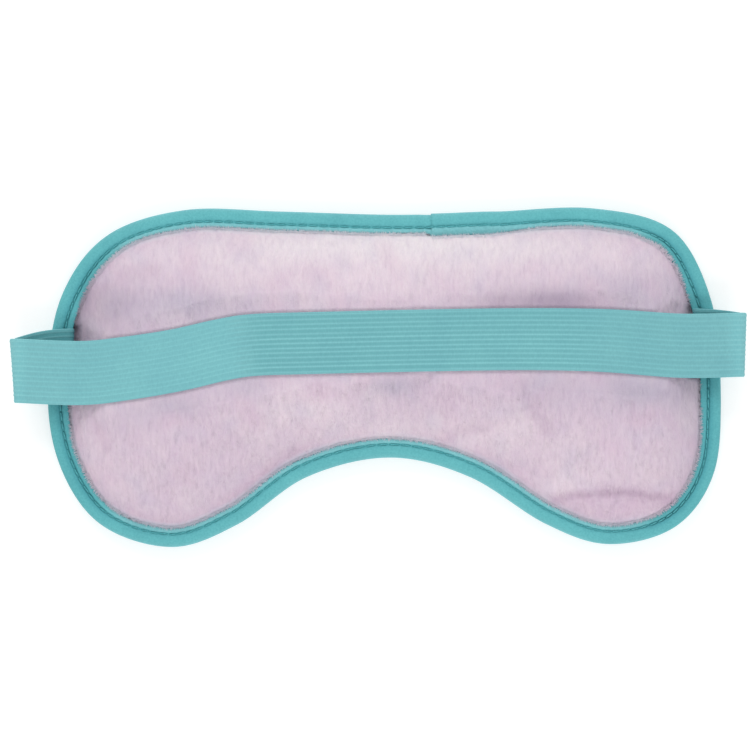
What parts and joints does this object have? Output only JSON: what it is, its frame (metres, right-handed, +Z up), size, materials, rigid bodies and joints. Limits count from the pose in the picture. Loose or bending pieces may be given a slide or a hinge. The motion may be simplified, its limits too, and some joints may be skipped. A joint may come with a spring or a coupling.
{
  "type": "eye pillow",
  "caption": "Padded eye pillow with a plush rear face, a nose notch, taped edge, sealed bead pouch and an elastic head strap.",
  "frame": {"origin": "bottom centre of the whole object's box, under the middle of the pad, on the surface it rests on", "axes": "+X along the pad's length towards its longer right lobe, +Y towards the straight top edge (away from the nose notch), +Z up out of the plush rear face, away from the resting face"},
  "size_m": [0.2306, 0.1068, 0.0153],
  "materials": {
    "plush": "short-pile lilac plush, matt",
    "satin": "smooth lilac satin with a soft sheen",
    "film": "thin clear film, glossy",
    "beads": "soft lilac gel beads, satin",
    "binding_tape": "woven teal tape, matt",
    "thread": "dark teal sewing thread, slight sheen",
    "elastic": "ribbed teal woven elastic, matt"
  },
  "bodies": {
    "pad": {"rear_cover": "plush", "front_cover": "satin", "pouch_rear_film": "film", "pouch_front_film": "film", "bead_filling": "beads", "edge_binding": "binding_tape", "binding_needle_thread": "thread", "binding_bobbin_thread": "thread", "strap_end_left": "elastic", "strap_end_right": "elastic", "strap_loop_left": "elastic", "strap_loop_right": "elastic"},
    "strap_ends": {"strap_shoulder_left": "elastic", "strap_shoulder_right": "elastic"},
    "strap_centre": {"strap_span": "elastic"}
  },
  "joints": [
    {"name": "strap_end_lift", "type": "slide", "parent": "pad", "child": "strap_ends", "axis": [0, 0, 1], "range_m": [0, 0.04], "stiffness_N_per_m": 20, "deforming": ["strap_loop_left", "strap_loop_right"]},
    {"name": "strap_centre_lift", "type": "slide", "parent": "strap_ends", "child": "strap_centre", "axis": [0, 0, 1], "range_m": [0, 0.07], "stiffness_N_per_m": 20}
  ],
  "couplings": [
    {"joint": "strap_centre_lift", "follows": "strap_end_lift", "ratio": 1.75}
  ]
}
